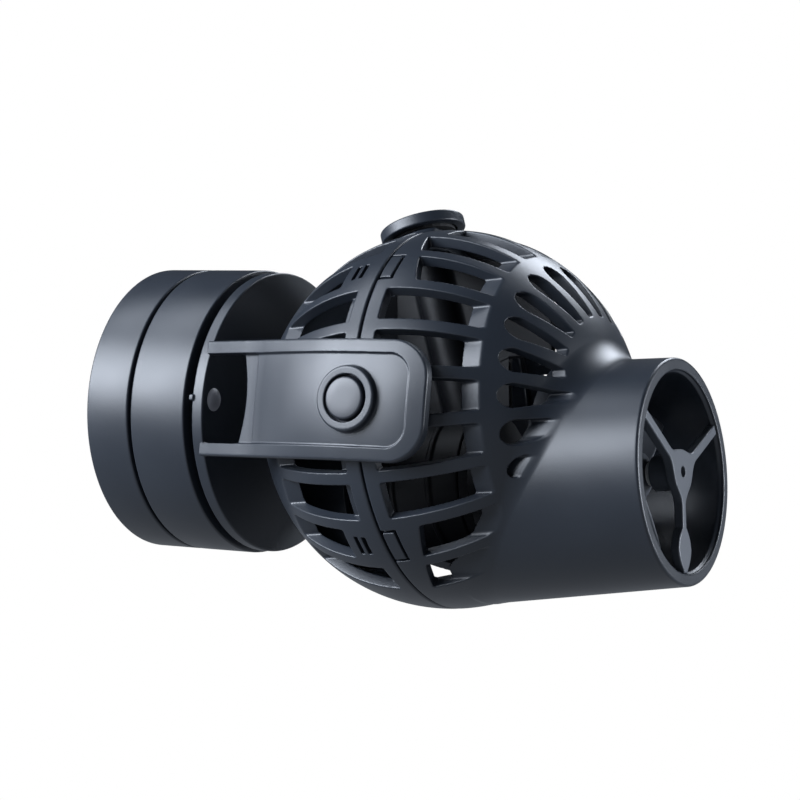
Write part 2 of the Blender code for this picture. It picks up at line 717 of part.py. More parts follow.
TOWER_R, TOWER_TOP = 4.1 * MM, 32.6 * MM
TOWER_BORE_R = 2.2 * MM
WEB_T = 1.6 * MM
WEB_R = 32.0 * MM               # the web's edge follows the cage's inside
# the web's foot as (x, z) from the ball centre, then its curved edge by angle from +X
WEB = mm([(-11.8, -0.4), (8.0, -0.4), (8.0, 1.3), (13.2, 1.3), (13.2, 11.0), (22.6, 11.0)])
WEB += [(WEB_R * math.cos(math.radians(angle)), WEB_R * math.sin(math.radians(angle)))
        for angle in (45.1, 53.0, 61.0, 69.0, 77.0, 85.0, 93.0, 101.0, 111.6)]

WELL_R, WELL_BORE_R = 6.3 * MM, 5.6 * MM
WELL_FLOOR_X, WELL_END_X = -16.4 * MM, -17.6 * MM
FLANGE_X0, FLANGE_X1 = CAN_X1 + GAP, CAN_X1 + 2.3 * MM

BUSH_BORE_R = SHAFT_R + 0.07 * MM
LOOSE_BORE_R = SHAFT_R + 0.2 * MM   # bore of the washers, rotor magnet and propeller

# plain rings: name, finish, inner radius, outer radius, start x, end x
AXIS_RINGS = (
    ("stator_core", "core", 6.6 * MM, 11.7 * MM, -12.5 * MM, 1.0 * MM),
    ("winding_rear", "winding", 6.9 * MM, 11.2 * MM, -16.6 * MM, -12.8 * MM),
    ("winding_front", "winding", 6.9 * MM, 11.2 * MM, 1.3 * MM, 5.2 * MM),
    ("rear_bush", "soft_part", BUSH_BORE_R, 4.6 * MM, -16.1 * MM, -13.2 * MM),
    ("thrust_washer_rear", "thrust_washer", LOOSE_BORE_R, 2.3 * MM, -13.0 * MM, -12.2 * MM),
    ("rotor_magnet", "rotor_magnet", LOOSE_BORE_R, 5.0 * MM, -11.9 * MM, 5.5 * MM),
    ("thrust_washer_front", "thrust_washer", LOOSE_BORE_R, 2.3 * MM, 41.9 * MM, 42.6 * MM),
    ("front_bush", "soft_part", BUSH_BORE_R, 2.05 * MM, 43.1 * MM, 46.5 * MM),
)


def motor_can():
    """Can with a tower that carries the cable up to the cap, and a web beside it."""
    can = turned([
        (0, CAN_FLOOR_X), (CAN_R - CAN_WALL, CAN_FLOOR_X), (CAN_R - CAN_WALL, CAN_X1),
        (CAN_R, CAN_X1), (CAN_R, CAN_X0 + CAN_EDGE), (CAN_R - CAN_EDGE, CAN_X0), (0, CAN_X0),
    ], 24, TO_X)
    ball_to_duct = Matrix.Translation((0, 0, -DUCT_Z))
    tower_frame = ball_to_duct @ CAP_FRAME
    tower = cylinder(TOWER_R, -0.8 * MM, TOWER_TOP, 24, tower_frame)
    add(tower, prism([WEB], -WEB_T / 2, WEB_T / 2, ball_to_duct @ TO_NEAR))
    cut(tower, cylinder(TOWER_BORE_R, 0.8 * MM, TOWER_TOP + 5 * MM, 24, tower_frame))
    add(can, tower)
    finish(can, "motor_can", "can", rotor_axis)


def motor_end_cap():
    """End cap with the rotor well: flange, tube and closed bottom."""
    well = turned([
        (0, WELL_FLOOR_X), (WELL_BORE_R, WELL_FLOOR_X), (WELL_BORE_R, FLANGE_X1),
        (CAN_R, FLANGE_X1), (CAN_R, FLANGE_X0), (WELL_R, FLANGE_X0), (WELL_R, WELL_END_X),
        (0, WELL_END_X),
    ], 24, TO_X)
    finish(well, "motor_end_cap", "housing", rotor_axis)


motor_can()
motor_end_cap()
finish(cylinder(SHAFT_R, -15.8 * MM, 46.4 * MM, 24, TO_X), "shaft", "shaft", rotor_axis)
for ring_name, ring_finish, *ring_sizes in AXIS_RINGS:
    finish(ring(*ring_sizes, 24, TO_X), ring_name, ring_finish, rotor_axis)

# ----------------------------------------------------------------- propeller
BLADES = 4
BLADE_TURN = math.radians(-38.0)    # first blade from +Z, about X
BLADE_SECTIONS = 4
BLADE_THICKNESS = 1.5 * MM
BLADE_X = 36.2 * MM             # middle of the chord
# each pair is a value at the blade's root and at its tip
BLADE_RADII = (3.6 * MM, 17.4 * MM)
BLADE_CHORDS = (8.5 * MM, 10.5 * MM)
BLADE_PITCHES = (math.radians(35), math.radians(60))    # from the shaft
# blade section: (part of the chord, part of the thickness)
BLADE_DIAMOND = ((-0.5, 0.0), (0.0, 0.5), (0.5, 0.0), (0.0, -0.5))
HUB_PROFILE = mm([
    (2.4, 41.6), (4.3, 40.4), (4.6, 38.6), (4.6, 30.0), (3.4, 24.0), (3.0, 5.9),
]) + [(LOOSE_BORE_R, 5.9 * MM), (LOOSE_BORE_R, 41.6 * MM)]


def between(ends, part):
    return ends[0] + (ends[1] - ends[0]) * part


def blade(number):
    """A twisted blade: diamond sections along the radius joined into one closed body."""
    bm = bmesh.new()
    loops = []
    for j in range(BLADE_SECTIONS + 1):
        part = j / BLADE_SECTIONS
        radius = between(BLADE_RADII, part)
        chord = between(BLADE_CHORDS, part)
        pitch = between(BLADE_PITCHES, part)
        loop = []
        for chord_part, thick_part in BLADE_DIAMOND:
            along = chord_part * chord
            across = thick_part * BLADE_THICKNESS
            x = along * math.cos(pitch) - across * math.sin(pitch)
            arc = along * math.sin(pitch) + across * math.cos(pitch)
            angle = arc / radius
            loop.append(bm.verts.new((BLADE_X + x, radius * math.sin(angle),
                                      radius * math.cos(angle))))
        loops.append(loop)
    for lower, upper in zip(loops, loops[1:]):
        for i in range(4):
            after = (i + 1) % 4
            bm.faces.new((lower[i], lower[after], upper[after], upper[i]))
    bm.faces.new(loops[0][::-1])
    bm.faces.new(loops[-1])
    bmesh.ops.recalc_face_normals(bm, faces=bm.faces)
    turn = BLADE_TURN + 2 * math.pi * number / BLADES
    return shape_from(bm, Matrix.Rotation(turn, 4, "X"))


propeller = turned(HUB_PROFILE, 24, TO_X, closed=True)
for i in range(BLADES):
    add(propeller, blade(i))
finish(propeller, "propeller", "propeller", rotor_axis)

# ------------------------------------- flat three-armed bracket in the outlet
HUB_R = 4.3 * MM
HUB_EDGE = 0.4 * MM
SLEEVE_R = 3.4 * MM
SLEEVE_X = 42.9 * MM            # the sleeve's inner end
BUSH_SEAT_R = 2.35 * MM
BUSH_SEAT_X = 47.0 * MM
END_HOLE_R = 0.95 * MM
PLATE_X0, PLATE_X1 = 46.8 * MM, 48.6 * MM

# spoke stations, (radius, half width) in mm
PLAIN_SPOKE = [(3.4, 1.9), (5.0, 1.3), (8.0, 1.0), (18.15, 1.0)]
LEAF_SPOKE = [
    (3.4, 1.9), (5.0, 1.3), (8.0, 0.9), (10.4, 0.8), (11.4, 1.7), (12.6, 2.6),
    (14.2, 3.0), (15.8, 2.6), (17.0, 1.6), (17.7, 0.9), (18.15, 0.9),
]
# angle from +Z towards +Y in degrees, and stations
SPOKES = ((60.0, PLAIN_SPOKE), (-60.0, PLAIN_SPOKE), (180.0, LEAF_SPOKE))


def spoke(degrees, stations):
    cosine, sine = math.cos(math.radians(degrees)), math.sin(math.radians(degrees))
    outline = [(r * sine + half * cosine, r * cosine - half * sine) for r, half in stations]
    outline += [(r * sine - half * cosine, r * cosine + half * sine)
                for r, half in stations[::-1]]
    return prism([mm(outline)], PLATE_X0, PLATE_X1, TO_X)


def shaft_bracket():
    bracket = turned([
        (HUB_R - HUB_EDGE, PLATE_X1), (HUB_R, PLATE_X1 - HUB_EDGE), (HUB_R, PLATE_X0),
        (SLEEVE_R, PLATE_X0), (SLEEVE_R, SLEEVE_X), (BUSH_SEAT_R, SLEEVE_X),
        (BUSH_SEAT_R, BUSH_SEAT_X), (END_HOLE_R, BUSH_SEAT_X), (END_HOLE_R, PLATE_X1),
    ], 20, TO_X, closed=True)
    add(bracket, *[spoke(degrees, stations) for degrees, stations in SPOKES])
    # the spokes' roots are cleared out of the bush's seat
    cut(bracket, cylinder(BUSH_SEAT_R, 40.0 * MM, BUSH_SEAT_X, 24, TO_X))
    finish(bracket, "shaft_bracket", "body", rotor_axis)


shaft_bracket()
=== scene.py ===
"""A ball-shaped propeller pump held in a fork on a two-part magnet mount.

Row frame: +X runs from the mount towards the nozzle, -Y is the near side, +Z is up. The
origin lies on the mount axis, between the dry (-X) and the wet (+X) magnet housing.
The ball frame sits at the ball's centre, pitched so that +X runs along the nozzle.
Pieces are drawn in mm and stored in metres. Fields are signed distances, negative inside.
"""
import json
import math
from functools import reduce

import bmesh
import bpy
import numpy as np
from mathutils import Matrix, Vector


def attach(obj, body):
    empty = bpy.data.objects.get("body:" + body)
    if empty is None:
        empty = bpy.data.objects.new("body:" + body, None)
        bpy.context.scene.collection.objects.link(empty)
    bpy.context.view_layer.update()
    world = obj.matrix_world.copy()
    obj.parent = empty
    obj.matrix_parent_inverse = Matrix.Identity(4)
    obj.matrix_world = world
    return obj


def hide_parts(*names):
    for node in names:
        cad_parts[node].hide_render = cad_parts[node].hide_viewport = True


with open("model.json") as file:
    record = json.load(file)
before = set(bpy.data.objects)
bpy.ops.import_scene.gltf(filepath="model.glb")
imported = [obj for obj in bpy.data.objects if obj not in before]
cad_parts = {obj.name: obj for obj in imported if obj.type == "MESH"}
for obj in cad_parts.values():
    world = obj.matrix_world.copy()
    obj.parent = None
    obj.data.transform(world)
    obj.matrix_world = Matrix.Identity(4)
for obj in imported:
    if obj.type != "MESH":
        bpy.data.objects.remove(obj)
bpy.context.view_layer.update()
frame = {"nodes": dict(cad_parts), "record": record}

MM = 0.001
PI = math.pi

# ------------------------------------------------------------------ frames
joints = {joint["name"]: joint for joint in frame["record"]["behaviour"]["joints"]}
PIVOT = Vector(joints["ball_tilt"]["pos_m"])
rotor_axis = Vector(joints["rotor_spin"]["axis"]).normalized()
rotor_place = Vector(joints["rotor_spin"]["pos_m"])
PITCH = math.atan2(rotor_axis.z, rotor_axis.x)

ROW = Matrix.Identity(4)
FORK = Matrix.Translation(PIVOT)
BALL = FORK @ Matrix.Rotation(-PITCH, 4, "Y")
DUCT_Z = (BALL.inverted() @ rotor_place).z / MM     # height of the nozzle axis in the ball frame
DUCT = BALL @ Matrix.Translation((0, 0, DUCT_Z * MM))

# ------------------------------------------------------- driving sizes, mm
BALL_R = 37.0
WALL = 2.2
BALL_INNER_R = BALL_R - WALL
SEAM_GAP = 0.16             # from the ball's mid-plane to each half of the cage

SLOT_PITCH = PI / 12        # 24 slots round the cage
RIB = 2.4                   # width left between slots
BAND = 3.2                  # solid band from the mid-plane to the slots

NOZZLE_BASE_R, NOZZLE_TIP_R = 23.1, 21.2
NOZZLE_BASE_X, NOZZLE_TIP_X = 8.0, 48.87

CAP_LEAN = math.radians(14.0)
CAP_FOOT_X, CAP_FOOT_Z = 3.45, 0.57     # a point on the cap's axis, in the ball frame
CAP = (BALL @ Matrix.Translation((CAP_FOOT_X * MM, 0, CAP_FOOT_Z * MM))
       @ Matrix.Rotation(-CAP_LEAN, 4, "Y"))
CABLE_R = 1.5
CABLE_WAY_R = 1.75
CABLE_LINE = BALL_R + 1.9   # height of the cable's centre line where it leaves the cap
CABLE_BEND = 2.7


# ------------------------------------------------------------- field maths
def length(*parts):
    return np.sqrt(sum(part * part for part in parts))


def all_of(*fields):
    """What all the solids share, with sharp edges."""
    return reduce(np.maximum, fields)


def both(a, b, r):
    """What two solids share, with the edge rounded by r."""
    return np.minimum(-r, np.maximum(a, b)) + length(np.maximum(a + r, 0), np.maximum(b + r, 0))


def join(a, b, r):
    """Two solids in one, with a fillet of r."""
    return -both(-a, -b, r)


def cut(a, b, r):
    """a without b, with the edge rounded by r."""
    return both(a, -b, r)


def hard_cut(a, b):
    return np.maximum(a, -b)


def box(*gaps):
    """A box from the signed gaps to its faces."""
    return length(*[np.maximum(gap, 0) for gap in gaps]) + np.minimum(all_of(*gaps), 0)


def drum(side, along, low, high, low_edge, high_edge):
    """A side wall closed by two ends, each with its own edge radius."""
    return both(both(side, along - high, high_edge), low - along, low_edge)


def smooth01(t):
    t = np.clip(t, 0, 1)
    return t * t * (3 - 2 * t)


# ------------------------------------------------------ meshes from fields
def sample(field, low, high, step, mirror_y):
    """The field on a grid, and the grid's first corner. mirror_y works out y <= 0 only."""
    def ticks(i):
        count = int(math.ceil((high[i] - low[i]) / step)) + 1
        return (low[i] + step * np.arange(count)).astype(np.float32)

    xs, zs = ticks(0), ticks(2)
    if mirror_y:
        last = int(math.ceil(-low[1] / step))
        ys = (-step * np.arange(last, -1, -1)).astype(np.float32)
    else:
        ys = ticks(1)
    values = np.empty((len(xs), len(ys), len(zs)), np.float32)
    slab = 24                           # layers worked out at once, to spare memory
    for i in range(0, len(xs), slab):
        part = slice(i, i + slab)
        values[part] = field(xs[part][:, None, None], ys[None, :, None], zs[None, None, :])
    if mirror_y:
        values = np.concatenate([values, values[:, -2::-1, :]], axis=1)
    return values, np.array((xs[0], ys[0], zs[0]), np.float64)


def surface_net(values, origin, step):
    """One point in each cell the surface crosses, one quad over each edge it crosses."""
    inside = values < 0
    filled = np.zeros(tuple(size - 1 for size in values.shape), np.uint8)
    for corner in np.ndindex(2, 2, 2):
        filled += inside[tuple(slice(c, size - 1 + c) for c, size in zip(corner, values.shape))]
    active = (filled > 0) & (filled < 8)
    cells = np.argwhere(active)
    index = np.full(active.shape, -1, np.int32)
    index[active] = np.arange(len(cells), dtype=np.int32)

    # each point is the mean of the crossings on its cell's twelve edges
    points = np.zeros((len(cells), 3))
    crossings = np.zeros(len(cells))
    for axis in range(3):
        for edge in np.ndindex(2, 2):
            start = np.insert(edge, axis, 0)
            end = np.insert(edge, axis, 1)
            v0 = values[tuple((cells + start).T)].astype(np.float64)
            v1 = values[tuple((cells + end).T)].astype(np.float64)
            hit = (v0 < 0) != (v1 < 0)
            place = np.tile(start.astype(np.float64), (hit.sum(), 1))
            place[:, axis] = v0[hit] / (v0[hit] - v1[hit])
            points[hit] += place
            crossings[hit] += 1
    points = points / crossings[:, None] + cells

    quads = []
    for axis in range(3):
        side1, side2 = (axis + 1) % 3, (axis + 2) % 3
        first = [slice(1, -1)] * 3
        second = [slice(1, -1)] * 3
        first[axis], second[axis] = slice(0, -1), slice(1, None)
        starts = inside[tuple(first)]
        edges = np.argwhere(starts != inside[tuple(second)])
        leaving = starts[tuple(edges.T)]
        edges[:, side1] += 1
        edges[:, side2] += 1
        corners = []
        for d1, d2 in ((-1, -1), (0, -1), (0, 0), (-1, 0)):
            cell = edges.copy()
            cell[:, side1] += d1
            cell[:, side2] += d2
            corners.append(index[tuple(cell.T)])
        quad = np.column_stack(corners)
        quad[~leaving] = quad[~leaving][:, ::-1]
        quads.append(quad)
    return origin + points * step, np.concatenate(quads)


def gradient(field, points, reach, mirror_y):
    """The field and its slope at the points, from samples at +-reach."""
    def at(p):
        y = -np.abs(p[:, 1]) if mirror_y else p[:, 1]
        return field(p[:, 0], y, p[:, 2])

    slope = np.empty_like(points)
    for i in range(3):
        shift = np.zeros(3)
        shift[i] = reach
        slope[:, i] = (at(points + shift) - at(points - shift)) / (2 * reach)
    return at(points), slope


def settle(field, points, step, mirror_y, rounds):
    """Moves the points down the slope onto the true surface, in limited strides."""
    for _ in range(rounds):
        value, slope = gradient(field, points, 0.02, mirror_y)
        steepness = np.maximum((slope * slope).sum(1), 0.05)
        move = slope * (value / steepness)[:, None]
        stride = np.sqrt((move * move).sum(1))
        move *= np.minimum(1, 0.4 * step / np.maximum(stride, 1e-9))[:, None]
        points = points - move
    return points


def quad_mesh(points, quads):
    mesh = bpy.data.meshes.new("skin")
    mesh.vertices.add(len(points))
    mesh.vertices.foreach_set("co", np.ascontiguousarray(points, dtype=np.float32).ravel())
    mesh.loops.add(quads.size)
    mesh.loops.foreach_set("vertex_index", np.ascontiguousarray(quads, dtype=np.int32).ravel())
    mesh.polygons.add(len(quads))
    mesh.polygons.foreach_set("loop_start", np.arange(0, quads.size, 4, dtype=np.int32))
    mesh.update(calc_edges=True)
    mesh.validate()
    return mesh


def add_object(name, data):
    obj = bpy.data.objects.new(name, data)
    bpy.context.scene.collection.objects.link(obj)
    return obj


def bake(obj):
    """The object's evaluated mesh; the object itself goes."""
    mesh = bpy.data.meshes.new_from_object(
        obj.evaluated_get(bpy.context.evaluated_depsgraph_get()))
    bpy.data.objects.remove(obj, do_unlink=True)
    return mesh


def skin_mesh(field, low, high, step, mirror_y=False, thin=1.0):
    """A closed mesh of a field, thinned to a share of its faces, with the true normals."""
    values, origin = sample(field, low, high, step, mirror_y)
    points, quads = surface_net(values, origin, step)
    points = settle(field, points, step, mirror_y, rounds=3)
    mesh = quad_mesh(points, quads)
    if thin < 1.0:
        dense = mesh
        obj = add_object("thin", dense)
        obj.modifiers.new("thin", "DECIMATE").ratio = thin
        mesh = bake(obj)
        bpy.data.meshes.remove(dense)
        flat = np.empty(len(mesh.vertices) * 3, np.float32)
        mesh.vertices.foreach_get("co", flat)
        points = flat.reshape(-1, 3).astype(np.float64)
        points = settle(field, points, step, mirror_y, rounds=2)
    _, normals = gradient(field, points, 0.06, mirror_y)
    normals /= np.maximum(np.sqrt((normals * normals).sum(1)), 1e-6)[:, None]
    mesh.vertices.foreach_set("co", (points * MM).astype(np.float32).ravel())
    mesh.update()
    mesh.shade_smooth()
    mesh.normals_split_custom_set_from_vertices(normals.astype(np.float32).tolist())
    return mesh


# ---------------------------------------------- turned pieces and placing
# from a piece turned round Z to one turned round the named axis
TURN_TO = {
    "X": Matrix(((0, 0, 1, 0), (1, 0, 0, 0), (0, 1, 0, 0), (0, 0, 0, 1))),
    "-Y": Matrix(((1, 0, 0, 0), (0, 0, -1, 0), (0, 1, 0, 0), (0, 0, 0, 1))),
    "+Y": Matrix(((-1, 0, 0, 0), (0, 0, 1, 0), (0, 1, 0, 0), (0, 0, 0, 1))),
}


def smooth_solid(mesh, weld, turn=Matrix.Identity(4)):
    """Welds points closer than weld (metres), turns the mesh, smooths all but sharp edges."""
    bm = bmesh.new()
    bm.from_mesh(mesh)
    bmesh.ops.remove_doubles(bm, verts=bm.verts, dist=weld)
    bmesh.ops.recalc_face_normals(bm, faces=bm.faces)
    bm.to_mesh(mesh)
    bm.free()
    mesh.transform(turn)
    mesh.shade_smooth()
    mesh.set_sharp_from_angle(angle=math.radians(50))
    return mesh


def rounded(profile, corner, closed):
    """The profile with each corner off the axis replaced by a five-point curve."""
    points = []
    count = len(profile)
    for i, (radius, height) in enumerate(profile):
        here = np.array((radius, height))
        before, after = np.array(profile[i - 1]), np.array(profile[(i + 1) % count])
        len0, len1 = np.linalg.norm(before - here), np.linalg.norm(after - here)
        open_end = not closed and i in (0, count - 1)
        if radius <= 1e-6 or open_end or min(len0, len1) < 1e-6:
            points.append((radius, height))
            continue
        trim = min(corner, 0.45 * len0, 0.45 * len1)
        start = here + (before - here) / len0 * trim
        end = here + (after - here) / len1 * trim
        for t in (0.0, 0.25, 0.5, 0.75, 1.0):
            q = (1 - t) ** 2 * start + 2 * t * (1 - t) * here + t * t * end
            points.append((max(float(q[0]), 0.0), float(q[1])))
    return points


def turned_mesh(profile, corner, closed=False, segments=160, axis="X"):
    """A turned mesh from (radius, place along the axis) in mm."""
    points = rounded(profile, corner, closed)
    edges = [(i, i + 1) for i in range(len(points) - 1)]
    if closed:
        edges.append((len(points) - 1, 0))
    outline = bpy.data.meshes.new("profile")
    outline.from_pydata([(radius * MM, 0, height * MM) for radius, height in points], edges, [])
    obj = add_object("turn", outline)
    screw = obj.modifiers.new("turn", "SCREW")
    screw.axis = "Z"
    screw.steps = screw.render_steps = segments
    screw.use_merge_vertices = True
    screw.merge_threshold = 0.000002
    screw.use_normal_calculate = True
    return smooth_solid(bake(obj), 2e-6, TURN_TO[axis])


def put(name, mesh, place, body, material, replaces):
    obj = add_object(name, mesh)
    obj.matrix_world = place
    mesh.materials.clear()
    mesh.materials.append(material)
    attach(obj, body)
    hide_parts(replaces)


# --------------------------------------------------------------- materials
GRAIN_SCALE = 1.0 / (0.25 * MM)     # 0.25 mm surface grain
WEAR_SCALE = 90.0                   # slow changes of gloss and colour
GLOSS_SPREAD = 0.06                 # roughness either side of the mean


def plastic(name, color, rough, grain=0.5, bump=0.02, metal=0.0, spec=0.5, tint=0.12):
    """A fine grain of bump mm, slow changes of gloss, and colour that varies by tint."""
    material = bpy.data.materials.new(name)
    material.use_nodes = True
    nodes, link = material.node_tree.nodes, material.node_tree.links.new
    shader = nodes["Principled BSDF"]
    coords = nodes.new("ShaderNodeTexCoord")

    def noise(scale, detail):
        node = nodes.new("ShaderNodeTexNoise")
        node.inputs["Scale"].default_value = scale
        node.inputs["Detail"].default_value = detail
        link(coords.outputs["Object"], node.inputs["Vector"])
        return node.outputs["Fac"]

    fine = noise(GRAIN_SCALE, detail=2.0)
    slow = noise(WEAR_SCALE, detail=3.0)

    gloss = nodes.new("ShaderNodeMapRange")
    gloss.inputs["To Min"].default_value = rough - GLOSS_SPREAD
    gloss.inputs["To Max"].default_value = rough + GLOSS_SPREAD
    link(slow, gloss.inputs["Value"])
    link(gloss.outputs["Result"], shader.inputs["Roughness"])

    shade = nodes.new("ShaderNodeMix")
    shade.data_type = "RGBA"
    shade.inputs["A"].default_value = (*[c * (1 - tint) for c in color], 1)
    shade.inputs["B"].default_value = (*[min(1, c * (1 + tint)) for c in color], 1)
    link(slow, shade.inputs["Factor"])
    link(shade.outputs["Result"], shader.inputs["Base Color"])

    relief = nodes.new("ShaderNodeBump")
    relief.inputs["Strength"].default_value = grain
    relief.inputs["Distance"].default_value = bump * MM
    link(fine, relief.inputs["Height"])
    link(relief.outputs["Normal"], shader.inputs["Normal"])

    shader.inputs["Metallic"].default_value = metal
    shader.inputs["Specular IOR Level"].default_value = spec
    shader.inputs["Coat Roughness"].default_value = 0.25
    return material


BODY = plastic("charcoal_abs", (0.016, 0.020, 0.027), rough=0.38)
CAGE = plastic("cage_abs", (0.015, 0.019, 0.026), rough=0.37)
PIN = plastic("pin_abs", (0.018, 0.021, 0.028), rough=0.35)
KNOB = plastic("index_pin_abs", (0.22, 0.22, 0.24), rough=0.45)
VANE = plastic("vane_abs", (0.070, 0.078, 0.092), rough=0.42)
PROPELLER = plastic("propeller_nylon", (0.085, 0.092, 0.105), rough=0.42)
# the motor can and its end cap: dark ABS, made near-black as painted shade for the dimly lit
# inside of the ball
CAN_PAINTED_SHADE = plastic("motor_can_abs_painted_shade", (0.004, 0.0045, 0.006), rough=0.50, spec=0.22)
RUBBER = plastic("pad_rubber", (0.008, 0.008, 0.009), rough=0.75, grain=0.8, bump=0.05)
PVC = plastic("cable_pvc", (0.009, 0.009, 0.011), rough=0.5, grain=0.4)
STEEL = plastic("stainless", (0.60, 0.61, 0.63), rough=0.26, grain=0.2, metal=1.0, tint=0.03)
NICKEL = plastic("magnet_nickel", (0.50, 0.49, 0.48), rough=0.30, grain=0.2, metal=1.0,
                 tint=0.03)
FERRITE = plastic("rotor_ferrite", (0.050, 0.050, 0.055), rough=0.6)
CORE = plastic("core_steel", (0.22, 0.22, 0.24), rough=0.45, metal=0.8)
COPPER = plastic("winding_copper", (0.50, 0.20, 0.08), rough=0.35, metal=0.9)
PTFE = plastic("washer_ptfe", (0.75, 0.74, 0.70), rough=0.5, tint=0.04)

# finishes of the CAD nodes that stay
FINISHES = (
    (NICKEL, ("wet_magnet", "dry_magnet")),
    (CORE, ("stator_core",)),
    (COPPER, ("winding_rear", "winding_front")),
    (RUBBER, ("rear_bush", "front_bush", "gland_seal", "friction_washer")),
    (PTFE, ("thrust_washer_rear", "thrust_washer_front")),
    (FERRITE, ("rotor_magnet",)),
    (STEEL, ("shaft", "swivel_screw")),
    (CAN_PAINTED_SHADE, ("motor_end_cap",)),
)
for finish, node_names in FINISHES:
    for node_name in node_names:
        slots = frame["nodes"][node_name].data.materials
        slots.clear()
        slots.append(finish)

# --------------------------------------------------------- magnet housings
CUP_R, CUP_BORE_R, PAD_R = 29.0, 26.2, 25.8
CUP_LIP, DRY_BACK, WET_FRONT = 0.4, -10.5, 13.25    # places along X
PAD_FACE, PAD_BACK = 0.15, 1.9                      # distances from the origin along X

# profiles: radius, x
DRY_CUP = [(0, -7.9), (CUP_BORE_R, -7.9), (CUP_BORE_R, -CUP_LIP),
           (CUP_R, -CUP_LIP), (CUP_R, DRY_BACK), (0, DRY_BACK)]
DRY_PAD = [(0, -PAD_FACE), (PAD_R, -PAD_FACE), (PAD_R, -PAD_BACK), (0, -PAD_BACK)]
WET_CUP = [(CUP_BORE_R, CUP_LIP), (CUP_BORE_R, 10.4), (5.2, 10.4), (5.2, 3.4), (1.75, 3.4),
           (1.75, WET_FRONT), (CUP_R, WET_FRONT), (CUP_R, CUP_LIP)]
WET_PAD = [(0, PAD_BACK), (PAD_R, PAD_BACK), (PAD_R, PAD_FACE), (0, PAD_FACE)]

put("dry_cup", turned_mesh(DRY_CUP, corner=0.45),
    ROW, "dry_side", BODY, "dry_housing")
put("dry_pad_disc", turned_mesh(DRY_PAD, corner=0.3),
    ROW, "dry_side", RUBBER, "dry_pad")
put("wet_cup", turned_mesh(WET_CUP, corner=0.4, closed=True),
    ROW, "mount_base", BODY, "wet_housing")
put("wet_pad_disc", turned_mesh(WET_PAD, corner=0.3),
    ROW, "mount_base", RUBBER, "wet_pad")

# -------------------------------------------------------------------- fork
# outer face of an arm in plan, mm from the pivot: x, |y|
ARM_PATH = [
    (-42.3, 27.35), (-38.5, 28.3), (-35.2, 29.3), (-30.7, 30.6), (-26.0, 31.95),
    (-20.8, 34.2), (-14.0, 36.9), (-7.0, 38.8), (0.0, 39.6), (6.0, 39.75),
    (10.0, 39.55), (13.5, 39.0), (18.0, 37.9), (26.0, 35.6),
]
PLAN_STEP = 0.2
ARM_WALL = 2.1
PANEL_HALF = 8.6                # half height of the recessed panel and the window
DISC_X, DISC_HALF, DISC_R = -40.95, 1.25, 28.5
INDEX_PIN_Y = -24.9


def soften(path, rounds):
    """Cuts the path's corners, a quarter of the way along each side."""
    for _ in range(rounds):
        points = [path[0]]
        for a, b in zip(path[:-1], path[1:]):
            points += [0.75 * a + 0.25 * b, 0.25 * a + 0.75 * b]
        path = np.array(points + [path[-1]])
    return path


def arm_plan(path):
    """Signed distance to the arm's outer face in plan, positive outside, on a grid."""
    xs = np.arange(-46, 22, PLAN_STEP)
    ys = np.arange(20, 44, PLAN_STEP)
    grid_x, grid_y = np.meshgrid(xs, ys, indexing="ij")
    best = np.full(grid_x.shape, 1e9)
    sign = np.ones(grid_x.shape)
    for a, b in zip(path[:-1], path[1:]):
        d = b - a
        t = ((grid_x - a[0]) * d[0] + (grid_y - a[1]) * d[1]) / np.hypot(*d) ** 2
        t = np.clip(t, 0, 1)
        off_x, off_y = grid_x - a[0] - t * d[0], grid_y - a[1] - t * d[1]
        distance = np.hypot(off_x, off_y)
        side = np.sign(d[0] * off_y - d[1] * off_x)
        nearer = distance < best
        best[nearer] = distance[nearer]
        sign[nearer] = side[nearer]
    return xs, ys, best * np.where(sign == 0, 1, sign)


PLAN_X, PLAN_Y, PLAN = arm_plan(soften(np.array(ARM_PATH), rounds=3))


def plan(x, y):
    """Bilinear look-up of the arm's plan."""
    u = np.clip((x - PLAN_X[0]) / PLAN_STEP, 0, len(PLAN_X) - 1.001)
    v = np.clip((y - PLAN_Y[0]) / PLAN_STEP, 0, len(PLAN_Y) - 1.001)
    i, j = u.astype(np.int32), v.astype(np.int32)
    fu, fv = u - i, v - j
    return (PLAN[i, j] * (1 - fu) * (1 - fv) + PLAN[i + 1, j] * fu * (1 - fv)
            + PLAN[i, j + 1] * (1 - fu) * fv + PLAN[i + 1, j + 1] * fu * fv).astype(np.float32)


def bar(x, z, end, half, corner, bulge):
    """A side-view bar from -X to end, both corners rounded, the end slightly bulged."""
    gap_x = x - (end - bulge * (z / half) ** 2) + corner
    return box(gap_x, np.abs(z) - half + corner) - corner


